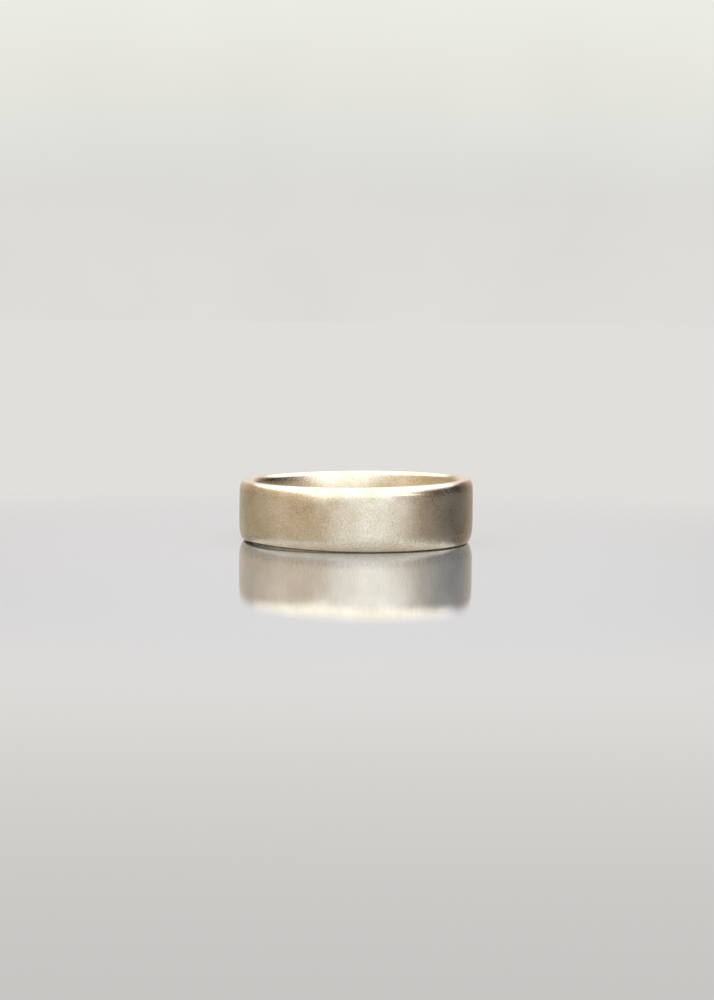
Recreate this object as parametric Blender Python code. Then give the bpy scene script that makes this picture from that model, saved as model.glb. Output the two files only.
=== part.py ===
"""Plain wedding band: one strip of pale gold bent into a hoop and closed by a solder seam.

The band lies on its edge. Z runs along the finger hole, the foot rests on Z = 0, and the seam
is at the narrowest place, on -X. Units are metres.
"""

import math

import bmesh
import bpy
from mathutils import Matrix

# The band as a whole
OUTER_DIAMETER = 0.0207
WALL_THICKNESS = 0.001475
BAND_WIDTH = 0.0055  # foot to top edge, halfway between the narrow side and the wide side
TOP_EDGE_SLOPE = 0.017  # rise of the top edge per metre towards +X: filing took most at the seam

# The filed edges are quarter ellipses: (across the wall, along the wall)
TOP_OUTER_EDGE = (0.00045, 0.00100)
TOP_INNER_EDGE = (0.00038, 0.00040)
FOOT_INNER_EDGE = (0.00038, 0.00040)
FOOT_OUTER_EDGE = (0.00050, 0.00140)
EDGE_STEPS = 6

# The seam, measured round the middle of the wall
SEAM_ANGLE = math.radians(180)
SEAM_WIDTH = 0.0003
SEAM_GAP = 0.00005  # clearance on each side of the solder, so that the two solids stay apart
HOOP_STEPS = 96
SEAM_STEPS = 2

SHARP_ANGLE = math.radians(35)

OUTER_RADIUS = OUTER_DIAMETER / 2
INNER_RADIUS = OUTER_RADIUS - WALL_THICKNESS
MIDDLE_RADIUS = (OUTER_RADIUS + INNER_RADIUS) / 2


def clear_scene():
    """Remove the objects that a new file starts with."""
    for thing in list(bpy.data.objects):
        bpy.data.objects.remove(thing, do_unlink=True)


def gold_material(name, colour, roughness):
    """A metal with one colour and one roughness."""
    material = bpy.data.materials.new(name)
    material.use_nodes = True
    shader = material.node_tree.nodes["Principled BSDF"]
    shader.inputs["Base Color"].default_value = (*colour, 1.0)
    shader.inputs["Metallic"].default_value = 1.0
    shader.inputs["Roughness"].default_value = roughness
    return material


def quarter_ellipse(centre, half_sizes, quarter):
    """Points of one filed edge, anticlockwise through the given quarter of a turn."""
    points = []
    for step in range(EDGE_STEPS + 1):
        angle = (quarter + step / EDGE_STEPS) * math.pi / 2
        radius = centre[0] + half_sizes[0] * math.cos(angle)
        height = centre[1] + half_sizes[1] * math.sin(angle)
        points.append((radius, height))
    return points


def wall_section():
    """The wall's cut outline as (radius, height), anticlockwise from the outer face."""
    outline = []
    across, along = TOP_OUTER_EDGE
    outline += quarter_ellipse((OUTER_RADIUS - across, BAND_WIDTH - along), TOP_OUTER_EDGE, 0)
    across, along = TOP_INNER_EDGE
    outline += quarter_ellipse((INNER_RADIUS + across, BAND_WIDTH - along), TOP_INNER_EDGE, 1)
    across, along = FOOT_INNER_EDGE
    outline += quarter_ellipse((INNER_RADIUS + across, along), FOOT_INNER_EDGE, 2)
    across, along = FOOT_OUTER_EDGE
    outline += quarter_ellipse((OUTER_RADIUS - across, along), FOOT_OUTER_EDGE, 3)
    return outline


def tilt_top_edge(mesh):
    """Stretch the band along Z so that its flat top edge climbs towards +X; the foot stays."""
    for vert in mesh.verts:
        vert.co.z *= 1 + TOP_EDGE_SLOPE * vert.co.x / BAND_WIDTH


def swept_wall(name, start_angle, sweep_angle, steps, material):
    """One solid: the wall's section carried round Z, closed by a flat face at each end."""
    mesh = bmesh.new()
    ring = [mesh.verts.new((radius, 0.0, height)) for radius, height in wall_section()]
    section = mesh.faces.new(ring)
    bmesh.ops.rotate(mesh, verts=ring, matrix=Matrix.Rotation(start_angle, 3, "Z"))
    bmesh.ops.spin(mesh, geom=[section], axis=(0, 0, 1), angle=sweep_angle, steps=steps)
    tilt_top_edge(mesh)
    bmesh.ops.recalc_face_normals(mesh, faces=mesh.faces)

    data = bpy.data.meshes.new(name)
    mesh.to_mesh(data)
    mesh.free()
    data.shade_smooth()
    data.set_sharp_from_angle(angle=SHARP_ANGLE)
    data.materials.append(material)
    wall = bpy.data.objects.new(name, data)
    bpy.context.collection.objects.link(wall)
    return wall


def make_band_hoop():
    """The bent strip, open by the width of the seam and its two clearances."""
    half_opening = (SEAM_WIDTH / 2 + SEAM_GAP) / MIDDLE_RADIUS
    pale_gold = gold_material("pale_gold", (0.78, 0.68, 0.50), 0.38)
    start = SEAM_ANGLE + half_opening
    return swept_wall("band_hoop", start, 2 * (math.pi - half_opening), HOOP_STEPS, pale_gold)


def make_solder_seam():
    """The film of hard solder that closes the hoop, filed flush with it."""
    half_seam = SEAM_WIDTH / 2 / MIDDLE_RADIUS
    gold_solder = gold_material("gold_solder", (0.80, 0.71, 0.55), 0.36)
    start = SEAM_ANGLE - half_seam
    return swept_wall("solder_seam", start, 2 * half_seam, SEAM_STEPS, gold_solder)


clear_scene()
make_band_hoop()
make_solder_seam()
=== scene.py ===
import math

import bpy
import numpy as np
from mathutils import Matrix, Vector


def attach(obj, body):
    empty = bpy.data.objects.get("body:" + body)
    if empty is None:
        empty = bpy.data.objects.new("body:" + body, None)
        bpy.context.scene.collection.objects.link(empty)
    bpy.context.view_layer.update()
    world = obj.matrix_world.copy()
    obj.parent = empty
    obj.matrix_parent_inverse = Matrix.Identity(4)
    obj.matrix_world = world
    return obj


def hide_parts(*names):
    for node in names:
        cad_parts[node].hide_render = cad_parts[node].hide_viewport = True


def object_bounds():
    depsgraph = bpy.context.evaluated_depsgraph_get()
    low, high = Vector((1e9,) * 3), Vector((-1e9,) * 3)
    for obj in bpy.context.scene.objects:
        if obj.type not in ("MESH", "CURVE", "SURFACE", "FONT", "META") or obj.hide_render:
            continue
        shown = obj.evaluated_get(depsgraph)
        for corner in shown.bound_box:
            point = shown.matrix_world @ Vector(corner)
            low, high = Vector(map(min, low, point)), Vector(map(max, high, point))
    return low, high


# A plain matte gold wedding band, lying on its edge on a pale polished sheet.
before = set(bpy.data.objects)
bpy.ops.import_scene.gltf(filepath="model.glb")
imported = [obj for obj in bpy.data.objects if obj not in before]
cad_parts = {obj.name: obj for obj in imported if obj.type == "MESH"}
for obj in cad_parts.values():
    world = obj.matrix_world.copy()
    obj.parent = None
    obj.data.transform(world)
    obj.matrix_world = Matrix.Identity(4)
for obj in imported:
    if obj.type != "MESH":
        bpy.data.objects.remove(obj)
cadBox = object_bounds()
print("frame loaded:", sorted(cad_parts))

# The forged and filed strip, in metres. Angles are degrees from -Y towards +X. An edge is a quarter
# ellipse: (across, along) the wall. A stroke and a lift are (angle, spread in degrees, amount).
strip = {
    "wall": 0.001475,
    "width": 0.0055,              # foot to top edge, on the Y axis
    "topSlope": 0.017,            # the top edge climbs this much per metre towards +X
    "topOuter": (0.00040, 0.00088),
    "topInner": (0.00034, 0.00036),
    "footInner": (0.00038, 0.00040),
    "footOuter": (0.00048, 0.00140),
    # where the file took more off the top outer edge: extra size along the wall
    "fileStrokes": [(-15, 10, 0.00066), (-30, 18, 0.00014), (15, 7, 0.00018), (128, 30, 0.00030),
                    (-142, 26, 0.00036), (178, 18, 0.00020)],
    "strokeAcross": 0.34,         # a stroke's extra size across the wall, as a share of that along it
    # where the foot stands off the sheet, and the power by which that fades up the wall
    "footLifts": [(-58, 30, 0.00014), (84, 18, 0.000042), (150, 30, 0.000042)],
    "liftFade": 3,
    "outerCrown": 0.00003,        # the outer face is this much lower at its edges than in its middle
    "innerCrown": 0.00034,        # the same inside, where the bore is eased for comfort
    "crownInside": 0.4,           # the share of the inner crown that narrows the bore in its middle
    "outerWobble": 0.000022,      # how far the hammered outer face wanders inwards
    "innerWobble": 0.0000132,     # how far the bore wanders to either side
    # the wander's waves: (waves round the hoop, radians up the wall, phase, share)
    "waves": [(5, 2.1, 0.4, 1.0), (9, -3.0, 1.9, 1.0), (14, 4.5, 3.3, 0.7)],
    # the fold that the file raised under the top edge
    "foldAngle": 28,
    "foldSpread": 9,
    "foldHeight": 0.000026,       # how far it stands out of the face
    "foldThickness": 0.00010,     # the half thickness of its line
    "foldStart": 20,              # the angle at which it lies foldBelow under the top edge
    "foldBelow": 0.00072,
    "foldFall": 0.0000065,        # how much lower it lies for each degree further
    "burnishStart": 0.00108,      # how far from the edges the tumbling began to burnish the faces
    "burnishFull": 0.00018,
    "boreFade": 0.0006,           # how far into the wall the bore's own finish reaches
    "seamAngle": -90,             # on -X, where filing left the band narrowest
    "seamWidth": 0.00022,
    "sharpAngle": 40,
    "hoopSteps": 840,
    "seamSteps": 4,
    "outerSteps": 38,
    "topOuterSteps": 26,
    "innerSteps": 12,
    "roundingSteps": 8,
    "footOuterSteps": 14,
    "flatSteps": 3,
}
outerRadius = cadBox[1].x
innerRadius = outerRadius - strip["wall"]
middleRadius = (outerRadius + innerRadius) / 2


def linearColour(hexText):
    # sRGB to linear: value / 12.92 near black, otherwise ((value + 0.055) / 1.055)^2.4
    values = np.array([int(hexText[i:i + 2], 16) / 255 for i in (1, 3, 5)])
    linear = np.where(values <= 0.04045, values / 12.92, ((values + 0.055) / 1.055) ** 2.4)
    return (*linear.tolist(), 1.0)


def addNode(tree, kind, settings, output=0):
    # Adds a shader node and gives one of its outputs. A setting is a property, a socket's value, an
    # output to link to a socket, or a ramp's stops or interpolation. A Mix node's numbered sockets are
    # 0 for the factor, 2 and 3 for numbers, and 6 and 7 for colours.
    node = tree.nodes.new("ShaderNode" + kind)
    for name, value in settings.items():
        if name == "stops":
            ramp = node.color_ramp.elements
            while len(ramp) > 1:
                ramp.remove(ramp[-1])
            for i, (position, colour) in enumerate(value):
                stop = ramp[0] if i == 0 else ramp.new(position)
                stop.position = position
                stop.color = linearColour(colour) if isinstance(colour, str) else (colour, colour, colour, 1)
        elif name == "interpolation":
            node.color_ramp.interpolation = value
        elif isinstance(value, bpy.types.NodeSocket):
            tree.links.new(value, node.inputs[name])
        elif isinstance(name, int) or name in node.inputs:
            node.inputs[name].default_value = value
        else:
            setattr(node, name, value)
    return node.outputs[output] if node.outputs else node


def hump(degrees, centre, spread):
    # exp(-(distance / spread)^2), with the distance taken the short way round the band
    distance = (degrees - centre + 180) % 360 - 180
    return np.exp(-(distance / spread) ** 2)


def humps(degrees, rows):
    # the sum of amount * hump over the rows
    return sum(amount * hump(degrees, centre, spread) for centre, spread, amount in rows)


def quarterEllipse(centreRadius, centreHeight, across, along, quarter, steps):
    # radius = centre + across * cos(turn), height = centre + along * sin(turn), through one quarter turn
    turn = (quarter + np.arange(steps) / steps) * math.pi / 2
    return centreRadius + across * np.cos(turn), centreHeight + along * np.sin(turn)


def straight(start, end, steps):
    # start + (end - start) * part, without the end itself
    part = np.arange(steps) / steps
    return start[0] + (end[0] - start[0]) * part, start[1] + (end[1] - start[1]) * part


def wallSection(degrees):
    # The wall's outline at each angle, as (radius, height), anticlockwise from the foot of the outer
    # face: four quarter ellipses joined by straight stretches. degrees is a column, so that each array
    # is angle by outline.
    one = np.ones_like(degrees)
    tall = strip["width"] * one
    extra = humps(degrees, strip["fileStrokes"])
    topAlong = strip["topOuter"][1] + extra
    topAcross = strip["topOuter"][0] + strip["strokeAcross"] * extra
    insideAcross, insideAlong = strip["topInner"]
    footAcross, footAlong = strip["footOuter"]
    baseAcross, baseAlong = strip["footInner"]
    outside = outerRadius * one
    bore = innerRadius * one
    topEnd = outerRadius - topAcross
    topInner = bore + insideAcross
    footInner = bore + baseAcross
    footEnd = outside - footAcross
    parts = [
        straight((outside, footAlong * one), (outside, tall - topAlong), strip["outerSteps"]),
        quarterEllipse(topEnd, tall - topAlong, topAcross, topAlong, 0, strip["topOuterSteps"]),
        straight((topEnd, tall), (topInner, tall), strip["flatSteps"]),
        quarterEllipse(topInner, tall - insideAlong, insideAcross, insideAlong, 1, strip["roundingSteps"]),
        straight((bore, tall - insideAlong), (bore, baseAlong * one), strip["innerSteps"]),
        quarterEllipse(footInner, baseAlong * one, baseAcross, baseAlong, 2, strip["roundingSteps"]),
        straight((footInner, 0 * one), (footEnd, 0 * one), strip["flatSteps"]),
        quarterEllipse(footEnd, footAlong * one, footAcross, footAlong, 3, strip["footOuterSteps"]),
    ]
    return np.hstack([part[0] for part in parts]), np.hstack([part[1] for part in parts])


def handWork(degrees, radius, height):
    # How far the surface stands outside the plain section. Outer face: a low parabolic crown, a slow
    # inward wander of crossed sine waves, and the fold, a bell curve round the hoop times one up the
    # wall. Inner face: its own crown and wander. The two faces' shares are outward^2 and (1 - outward)^2.
    middle = strip["width"] / 2
    outward = np.clip((radius - innerRadius) / strip["wall"], 0, 1)
    fromMiddle = ((height - middle) / middle) ** 2
    turn = np.radians(degrees)
    rise = height / strip["width"]
    wander = sum(share * np.sin(around * turn + upward * rise + phase)
                 for around, upward, phase, share in strip["waves"])
    wander = wander / sum(wave[3] for wave in strip["waves"])
    foldLine = strip["width"] - strip["foldBelow"] - strip["foldFall"] * (degrees - strip["foldStart"])
    fold = (strip["foldHeight"] * hump(degrees, strip["foldAngle"], strip["foldSpread"])
            * np.exp(-((height - foldLine) / strip["foldThickness"]) ** 2))
    outside = fold - strip["outerCrown"] * fromMiddle - strip["outerWobble"] * (1 - wander) / 2
    inside = strip["innerCrown"] * (fromMiddle - strip["crownInside"]) + strip["innerWobble"] * wander
    return outward ** 2 * outside + (1 - outward) ** 2 * inside


def wallPoints(degrees):
    # (angle, outline) to x, y, z: the worked outline turned to its angle, then stretched along Z
    # in proportion to X, which tilts the top edge; the foot's lift is times (1 - height / width)^liftFade
    radius, height = wallSection(degrees)
    radius = radius + handWork(degrees, radius, height)
    turn = np.radians(degrees)
    x = radius * np.sin(turn)
    y = -radius * np.cos(turn)
    lift = humps(degrees, strip["footLifts"]) * (1 - height / strip["width"]) ** strip["liftFade"]
    z = height * (1 + strip["topSlope"] * x / strip["width"]) + lift
    return np.stack([x, y, z], axis=-1), radius, height


def sweptWall(name, startDegrees, endDegrees, steps, material):
    # A closed solid: rings of the outline from one angle to the other, and a fan on each end
    degrees = np.linspace(startDegrees, endDegrees, steps + 1)[:, None]
    grid, radius, height = wallPoints(degrees)
    rings, points = grid.shape[:2]
    vertices = np.vstack([grid.reshape(-1, 3), grid[[0, -1]].mean(axis=1)])

    ring, point = np.meshgrid(np.arange(rings - 1), np.arange(points), indexing="ij")
    after = (point + 1) % points
    quads = np.stack([ring * points + point, (ring + 1) * points + point,
                      (ring + 1) * points + after, ring * points + after], axis=-1).reshape(-1, 4)
    here = np.arange(points)
    following = (here + 1) % points
    firstFan = np.stack([here, following, np.full(points, rings * points)], axis=-1)
    lastRing = (rings - 1) * points
    lastFan = np.stack([lastRing + following, lastRing + here, np.full(points, rings * points + 1)], axis=-1)
    mesh = bpy.data.meshes.new(name)
    mesh.from_pydata(vertices.tolist(), [], quads.tolist() + firstFan.tolist() + lastFan.tolist())
    mesh.shade_smooth()
    mesh.set_sharp_from_angle(angle=math.radians(strip["sharpAngle"]))

    # burnish: 1 at the top and foot edges, 0 on the faces. inside: 1 in the bore, 0 outside.
    fromEdge = np.minimum(strip["width"] - height, height)
    burnish = (strip["burnishStart"] - fromEdge) / (strip["burnishStart"] - strip["burnishFull"])
    inside = 1 - (radius - innerRadius) / strip["boreFade"]
    for label, values in (("burnish", burnish), ("inside", inside)):
        layer = mesh.attributes.new(label, "FLOAT", "POINT")
        shares = np.append(np.clip(values, 0, 1).ravel(), [0, 0])
        layer.data.foreach_set("value", shares.astype(np.float32))
    # skin: metres round the hoop and metres up the wall, for marks that run with the metal
    skin = np.stack([np.radians(degrees) * middleRadius + 0 * height, height], axis=-1).reshape(-1, 2)
    skin = np.vstack([skin, skin[[0, -1]]])
    corners = np.empty(len(mesh.loops), dtype=np.int32)
    mesh.loops.foreach_get("vertex_index", corners)
    mesh.uv_layers.new(name="skin").data.foreach_set("uv", skin[corners].ravel().astype(np.float32))
    mesh.materials.append(material)
    piece = bpy.data.objects.new(name, mesh)
    bpy.context.scene.collection.objects.link(piece)
    return piece


# Pale 14 ct gold, matted by tumbling: a fine frosted grain, edges burnished a little smoother, and
# hairlines from wear. The grain is coarsened to about 0.15 mm so that it shows.
paleGoldLook = {
    "pale": "#F4E3C6",
    "deep": "#D0B991",
    "grainSize": 0.00015,
    "grainHeight": 0.0000130,
    "grainTone": 1.4,             # how much the grain counts in the tone, against the cloud
    "toneRange": (0.80, 1.60),    # the tones that give the deep and the pale colour
    "cloudScale": 420.0,          # clouds per metre
    "dimpleSize": 0.0009,
    "dimpleHeight": 0.0000070,
    "roughness": 0.31,
    "roughnessSpread": 0.04,      # up or down with the tone
    "edgeRoughness": -0.13,       # the change on a burnished edge
    "boreRoughness": 0.02,        # the change in the bore
    "edgeGrain": 0.2,             # the share of the grain's height that is left on a burnished edge
    "grainGone": 0.45,            # the burnish at which no more than that is left
    "hairlineRuns": [(0.35, 0.0), (-0.9, 0.05), (1.25, 0.11)],  # direction in radians, shift of the noise
    "hairlineScale": (260.0, 5200.0, 1.0),                      # noise per metre along and across a run
    "hairlineLevel": 0.62,        # the contour of the noise that a hairline follows
    "hairlineWidth": 0.04,
    "hairlinePatches": (0.5, 0.62),  # the cloud levels between which hairlines come in
    "hairlineDepth": 0.0000015,
}
# Hard solder, a shade paler and a little smoother than the strip, matted with it
solderLook = dict(paleGoldLook, pale="#EDDFC6", deep="#E2CFAF", roughness=0.30)


def matteGold(name, look):
    # A metal whose colour and roughness follow tone = grain * grainTone + cloud, and whose bump is
    # grain + dimples - hairlines, each times its own height in metres
    material = bpy.data.materials.new(name)
    material.use_nodes = True
    tree = material.node_tree
    shader = tree.nodes["Principled BSDF"]
    shader.inputs["Metallic"].default_value = 1.0
    place = addNode(tree, "TexCoord", {}, "Object")
    skin = addNode(tree, "UVMap", {"uv_map": "skin"}, "UV")
    burnish = addNode(tree, "Attribute", {"attribute_name": "burnish"}, "Fac")
    inside = addNode(tree, "Attribute", {"attribute_name": "inside"}, "Fac")
    grain = addNode(tree, "TexNoise", {"Vector": place, "Scale": 1 / look["grainSize"], "Detail": 2.0,
                                       "Roughness": 0.6}, "Fac")
    dimple = addNode(tree, "TexNoise", {"Vector": place, "Scale": 1 / look["dimpleSize"],
                                        "Detail": 1.0}, "Fac")
    cloud = addNode(tree, "TexNoise", {"Vector": place, "Scale": look["cloudScale"], "Detail": 3.0}, "Fac")

    # hairlines: thin contour lines of noise stretched along three directions, kept only in patches
    lines = 0.0
    for angle, shift in look["hairlineRuns"]:
        turned = addNode(tree, "Mapping", {"Vector": skin, "Rotation": (0, 0, angle),
                                           "Location": (shift, shift, shift), "Scale": look["hairlineScale"]})
        stretched = addNode(tree, "TexNoise", {"Vector": turned, "Scale": 1.0, "Detail": 0.0}, "Fac")
        offset = addNode(tree, "Math", {"operation": "SUBTRACT", 0: stretched, 1: look["hairlineLevel"]})
        distance = addNode(tree, "Math", {"operation": "ABSOLUTE", 0: offset})
        contour = addNode(tree, "MapRange", {"Value": distance, "From Max": look["hairlineWidth"],
                                             "To Min": 1.0, "To Max": 0.0,
                                             "interpolation_type": "SMOOTHSTEP"})
        lines = addNode(tree, "Math", {"operation": "MAXIMUM", 0: lines, 1: contour})
    fewest, most = look["hairlinePatches"]
    patches = addNode(tree, "MapRange", {"Value": cloud, "From Min": fewest, "From Max": most})
    lines = addNode(tree, "Math", {"operation": "MULTIPLY", 0: lines, 1: patches})

    tone = addNode(tree, "Math", {"operation": "MULTIPLY_ADD", 0: grain, 1: look["grainTone"], 2: cloud})
    low, high = look["toneRange"]
    share = addNode(tree, "MapRange", {"Value": tone, "From Min": low, "From Max": high})
    colour = addNode(tree, "Mix", {"data_type": "RGBA", 0: share, 6: linearColour(look["deep"]),
                                   7: linearColour(look["pale"])}, 2)
    tree.links.new(colour, shader.inputs["Base Color"])

    smoothest = look["roughness"] - look["roughnessSpread"]
    roughest = look["roughness"] + look["roughnessSpread"]
    rough = addNode(tree, "MapRange", {"Value": share, "To Min": smoothest, "To Max": roughest})
    for region, change in ((burnish, look["edgeRoughness"]), (inside, look["boreRoughness"])):
        rough = addNode(tree, "Math", {"operation": "MULTIPLY_ADD", 0: region, 1: change, 2: rough})
    tree.links.new(rough, shader.inputs["Roughness"])

    # heights in metres, added up before one bump; the burnished edges have lost most of their grain
    frosted = addNode(tree, "MapRange", {"Value": burnish, "From Max": look["grainGone"],
                                         "To Min": look["grainHeight"],
                                         "To Max": look["edgeGrain"] * look["grainHeight"]})
    height = addNode(tree, "Math", {"operation": "MULTIPLY", 0: grain, 1: frosted})
    for pattern, amount in ((dimple, look["dimpleHeight"]), (lines, -look["hairlineDepth"])):
        height = addNode(tree, "Math", {"operation": "MULTIPLY_ADD", 0: pattern, 1: amount, 2: height})
    bump = addNode(tree, "Bump", {"Height": height, "Distance": 1.0, "Strength": 1.0})
    tree.links.new(bump, shader.inputs["Normal"])
    return material


halfSeam = math.degrees(strip["seamWidth"] / 2 / middleRadius)
hoop = sweptWall("bandHoop", strip["seamAngle"] + halfSeam, strip["seamAngle"] + 360 - halfSeam,
                 strip["hoopSteps"], matteGold("tumbledPaleGold", paleGoldLook))
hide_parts("band_hoop")
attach(hoop, "root")
seam = sweptWall("solderSeam", strip["seamAngle"] - halfSeam, strip["seamAngle"] + halfSeam,
                 strip["seamSteps"], matteGold("tumbledGoldSolder", solderLook))
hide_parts("solder_seam")
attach(seam, "root")
print("band made")


# The sheet: a board lacquered round the band, where a pale body lies under a gloss coat that mirrors more the
# flatter it is seen, and matt further out. The darker body that the band sees is painted shade: a darker copy
# of the body, seen only by the band's own rays, that stands in for the sheet's shade under and round the
# band.
sheetLook = {
    "body": "#969592",
    # painted shade: a darker copy of the body, for the band's own rays only
    "shadedBodyUnder": "#605C59",
    "bodyFar": "#B2AAA0",
    "gloss": "#F5F6F8",
    "glossPeak": 1.25,            # gloss share for the camera: glossPeak * flat^4
    "glossLeast": 0.25,           # gloss share for the band: glossLeast + glossRise * flat^2
    "glossRise": 0.62,
    "glossCentre": (0.0, -0.014, 0.0),
    "glossEdge": (0.034, 0.075),  # the lacquer ends between these distances from its centre
    "shadeEnds": (-0.145, -0.055),  # the places on Y where the matt board's painted shade is deepest and where it ends
    # the board's colour is times this where its painted shade is deepest
    "deepestShade": 0.74,
    "rippleSize": 0.00004,
    "ripple": 0.00000045,         # a fine ripple softens what the gloss mirrors
    "half": 3.0,                  # half the square's side
    "level": -0.00001,            # just under the foot
}


def polishedSheet():
    # One flat square. flat is 1 - the cosine of the viewing angle.
    mesh = bpy.data.meshes.new("sheet")
    half, level = sheetLook["half"], sheetLook["level"]
    corners = [(-half, -half, level), (half, -half, level), (half, half, level), (-half, half, level)]
    mesh.from_pydata(corners, [], [(0, 1, 2, 3)])
    sheet = bpy.data.objects.new("sheet", mesh)
    bpy.context.scene.collection.objects.link(sheet)
    material = bpy.data.materials.new("polishedPaleSheet")
    material.use_nodes = True
    tree = material.node_tree
    tree.nodes.clear()

    flat = addNode(tree, "LayerWeight", {"Blend": 0.5}, "Facing")
    square = addNode(tree, "Math", {"operation": "MULTIPLY", 0: flat, 1: flat})
    steady = addNode(tree, "Math", {"operation": "MULTIPLY_ADD", 0: square, 1: sheetLook["glossRise"],
                                    2: sheetLook["glossLeast"]})
    fourth = addNode(tree, "Math", {"operation": "MULTIPLY", 0: square, 1: square})
    falling = addNode(tree, "Math", {"operation": "MULTIPLY", 0: fourth, 1: sheetLook["glossPeak"],
                                     "use_clamp": True})
    direct = addNode(tree, "LightPath", {}, "Is Camera Ray")
    share = addNode(tree, "Mix", {"data_type": "FLOAT", 0: direct, 2: steady, 3: falling})
    # camera rays get the plain body; the band's own rays get the darker copy, a painted shade of the sheet
    # under and round the band
    bodyWithBandShade = addNode(tree, "Mix", {"data_type": "RGBA", 0: direct, 6: linearColour(sheetLook["shadedBodyUnder"]),
                                  7: linearColour(sheetLook["body"])}, 2)
    body = addNode(tree, "BsdfDiffuse", {"Color": bodyWithBandShade})
    place = addNode(tree, "TexCoord", {}, "Object")
    ripple = addNode(tree, "TexNoise", {"Vector": place, "Scale": 1 / sheetLook["rippleSize"],
                                        "Detail": 0.0}, "Fac")
    bump = addNode(tree, "Bump", {"Height": ripple, "Distance": sheetLook["ripple"]})
    gloss = addNode(tree, "BsdfAnisotropic", {"Color": linearColour(sheetLook["gloss"]), "Roughness": 0.0,
                                              "Normal": bump})
    lacquer = addNode(tree, "MixShader", {0: share, 1: body, 2: gloss})

    # away from the band the lacquer gives way to a plain matt board, with painted shade that darkens it
    # towards -Y, a painted falloff of the light
    offset = addNode(tree, "VectorMath", {"operation": "SUBTRACT", 0: place, 1: sheetLook["glossCentre"]})
    reach = addNode(tree, "VectorMath", {"operation": "LENGTH", 0: offset}, "Value")
    near, far = sheetLook["glossEdge"]
    beyond = addNode(tree, "MapRange", {"Value": reach, "From Min": near, "From Max": far,
                                        "interpolation_type": "SMOOTHSTEP"})
    beyond = addNode(tree, "Math", {"operation": "MULTIPLY", 0: beyond, 1: direct})
    depth = addNode(tree, "SeparateXYZ", {0: place}, "Y")
    darkest, lightest = sheetLook["shadeEnds"]
    # painted shade: the board's colour falls off towards -Y in place of the light's own falloff
    paintedShade = addNode(tree, "MapRange", {"Value": depth, "From Min": darkest, "From Max": lightest,
                                         "To Min": sheetLook["deepestShade"], "To Max": 1.0,
                                         "interpolation_type": "SMOOTHSTEP"})
    matt = addNode(tree, "VectorMath", {"operation": "SCALE", 0: linearColour(sheetLook["bodyFar"])[:3],
                                        "Scale": paintedShade})
    board = addNode(tree, "BsdfDiffuse", {"Color": matt})
    both = addNode(tree, "MixShader", {0: beyond, 1: lacquer, 2: board})
    addNode(tree, "OutputMaterial", {0: both})
    mesh.materials.append(material)


# The studio, by degrees from the camera's side (-Y), positive towards +X: the walls' colour, and the
# height at which the walls give way to the white light. Heights are sines of the elevation.
studio = {
    "walls": [(-180, "#E1DDDA"), (-168, "#D9D4D0"), (-150, "#C2B9AE"), (-125, "#A79D91"),
              (-100, "#BDB2A2"), (-62, "#CBC0B1"), (-40, "#CEC4B7"), (-24, "#CBC4BD"), (0, "#EAECEE"),
              (38, "#D6D1C6"), (54, "#B0A8A2"), (72, "#7A6D67"), (90, "#3A2D2B"), (122, "#2A201E"),
              (150, "#A2968E"), (168, "#D4D0CC"), (180, "#E1DDDA")],
    "lightEdge": [(-180, 0.50), (-150, 0.46), (-125, 0.40), (-80, 0.38), (-62, 0.38), (-45, 0.38),
                  (-30, 0.34), (-18, 0.25), (-8, 0.09), (8, 0.0), (22, 0.0), (36, 0.08), (46, 0.17),
                  (58, 0.27), (68, 0.34), (80, 0.38), (115, 0.40), (150, 0.50), (180, 0.50)],
    "edgeBlur": 0.10,
    "wallLift": (0.2, 1.25),      # from the horizon to this height, the walls get this much lighter
    "frontColour": "#D3E3FE",
    "overheadColour": "#E8F0FA",
    "tintRange": (0.2, 0.7),      # the heights between which the front's colour becomes the overhead's
    "front": 2.2,
    "overhead": 2.4,
    "powerRange": (0.05, 0.6),    # the same for their strength
    # the plain sweep behind the sheet, by height from the horizon (0) to sweepHeight (1)
    "sweep": [(0.0, "#E1DFDB"), (0.17, "#DFDEDA"), (0.28, "#E4E4DE"), (0.38, "#E9E9E1"),
              (0.48, "#EDEEE6"), (0.67, "#F1F2EE"), (1.0, "#EFF0EE")],
    "sweepHeight": 0.3,
    "sweepStrength": 0.92,
    "cloudScale": 9.0,
    "cloudStrength": 0.12,        # what the sweep's faint cloud adds to its strength
}


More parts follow.
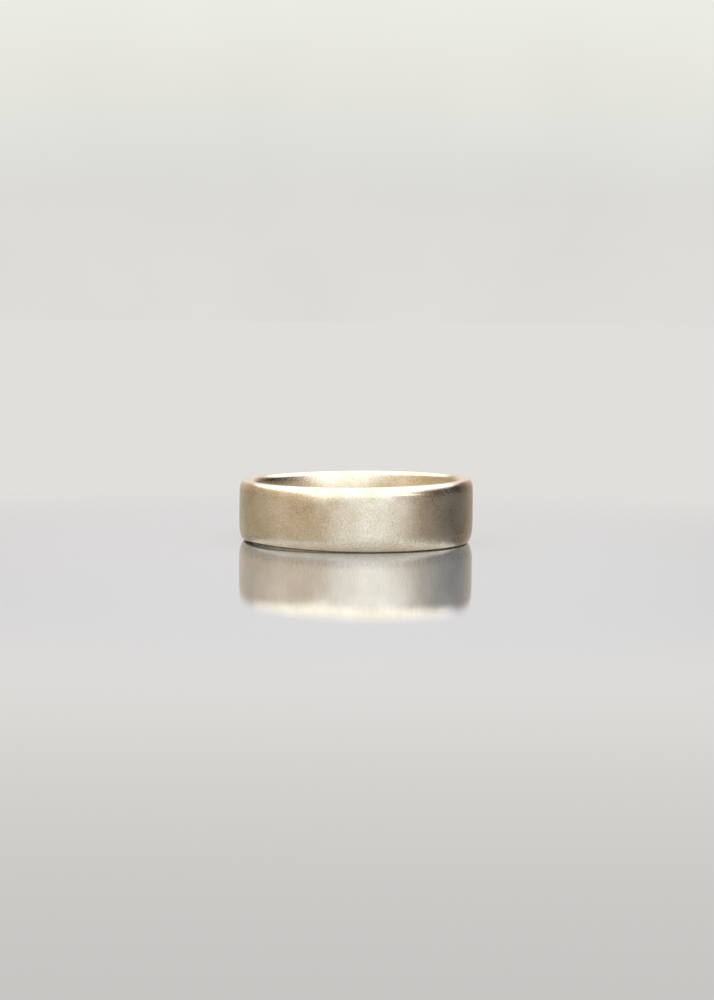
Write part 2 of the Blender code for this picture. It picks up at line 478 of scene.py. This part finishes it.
def studioLight():
    # Two surrounds: what lights the scene is the walls' colour * lift below the edge and the white
    # light * its power above it; what the camera sees past the sheet is the plain sweep
    world = bpy.data.worlds.new("studio")
    bpy.context.scene.world = world
    world.use_nodes = True
    tree = world.node_tree
    tree.nodes.clear()
    direction = addNode(tree, "TexCoord", {}, "Generated")
    east, north, rise = (addNode(tree, "SeparateXYZ", {0: direction}, axis) for axis in "XYZ")
    towards = addNode(tree, "Math", {"operation": "MULTIPLY", 0: north, 1: -1.0})
    azimuth = addNode(tree, "Math", {"operation": "ARCTAN2", 0: east, 1: towards})
    place = addNode(tree, "MapRange", {"Value": azimuth, "From Min": -math.pi, "From Max": math.pi})
    walls, edge = (addNode(tree, "ValToRGB", {
        0: place, "stops": [((degrees + 180) / 360, level) for degrees, level in studio[row]],
        "interpolation": "CARDINAL"}) for row in ("walls", "lightEdge"))

    liftHeight, liftMost = studio["wallLift"]
    lift = addNode(tree, "MapRange", {"Value": rise, "From Max": liftHeight, "To Min": 1.0,
                                      "To Max": liftMost})
    lifted = addNode(tree, "VectorMath", {"operation": "SCALE", 0: walls, "Scale": lift})
    over = addNode(tree, "Math", {"operation": "SUBTRACT", 0: rise, 1: edge})
    share = addNode(tree, "MapRange", {"Value": over, "From Min": -studio["edgeBlur"],
                                       "From Max": studio["edgeBlur"], "interpolation_type": "SMOOTHSTEP"})
    low, high = studio["powerRange"]
    power = addNode(tree, "MapRange", {"Value": rise, "From Min": low, "From Max": high,
                                       "To Min": studio["front"], "To Max": studio["overhead"]})
    low, high = studio["tintRange"]
    tint = addNode(tree, "MapRange", {"Value": rise, "From Min": low, "From Max": high})
    white = addNode(tree, "Mix", {"data_type": "RGBA", 0: tint, 6: linearColour(studio["frontColour"]),
                                  7: linearColour(studio["overheadColour"])}, 2)
    light = addNode(tree, "VectorMath", {"operation": "SCALE", 0: white, "Scale": power})
    level = addNode(tree, "Mix", {"data_type": "RGBA", 0: share, 6: lifted, 7: light}, 2)
    around = addNode(tree, "Background", {"Color": level})

    climb = addNode(tree, "MapRange", {"Value": rise, "From Max": studio["sweepHeight"]})
    sweep = addNode(tree, "ValToRGB", {0: climb, "stops": studio["sweep"]})
    cloud = addNode(tree, "TexNoise", {"Vector": direction, "Scale": studio["cloudScale"],
                                       "Detail": 3.0}, "Fac")
    strength = addNode(tree, "Math", {"operation": "MULTIPLY_ADD", 0: cloud, 1: studio["cloudStrength"],
                                      2: studio["sweepStrength"]})
    plain = addNode(tree, "Background", {"Color": sweep, "Strength": strength})
    seen = addNode(tree, "LightPath", {}, "Is Camera Ray")
    both = addNode(tree, "MixShader", {0: seen, 1: around, 2: plain})
    addNode(tree, "OutputWorld", {0: both})


camera = {
    "elevation": math.radians(5.3),
    "distance": 0.192,            # from the middle of the band
    "lens": 77.87,
    "sensor": 36.0,
    "pan": -0.00042,              # radians that the aim stands off the middle of the band
    "tilt": 0.00439,
    "roll": math.radians(0.64),
    "clip": (0.005, 20.0),
}


def placeCamera():
    # middle of the band + distance * (0, -cos(elevation), sin(elevation)), aimed back at the middle
    # and then turned by pan, tilt and roll
    data = bpy.data.cameras.new("camera")
    data.sensor_width = camera["sensor"]
    data.lens = camera["lens"]
    data.clip_start, data.clip_end = camera["clip"]
    viewer = bpy.data.objects.new("camera", data)
    bpy.context.scene.collection.objects.link(viewer)
    middle = Vector((0, 0, strip["width"] / 2))
    back = Vector((0, -math.cos(camera["elevation"]), math.sin(camera["elevation"])))
    viewer.location = middle + back * camera["distance"]
    aim = back.to_track_quat("Z", "Y").to_matrix()
    turn = Matrix.Rotation(camera["pan"], 3, "Y") @ Matrix.Rotation(camera["tilt"], 3, "X")
    viewer.rotation_euler = (aim @ turn @ Matrix.Rotation(camera["roll"], 3, "Z")).to_euler()
    bpy.context.scene.camera = viewer


polishedSheet()
studioLight()
placeCamera()
bpy.context.scene.view_settings.view_transform = "Standard"
print("stage, light and camera set")
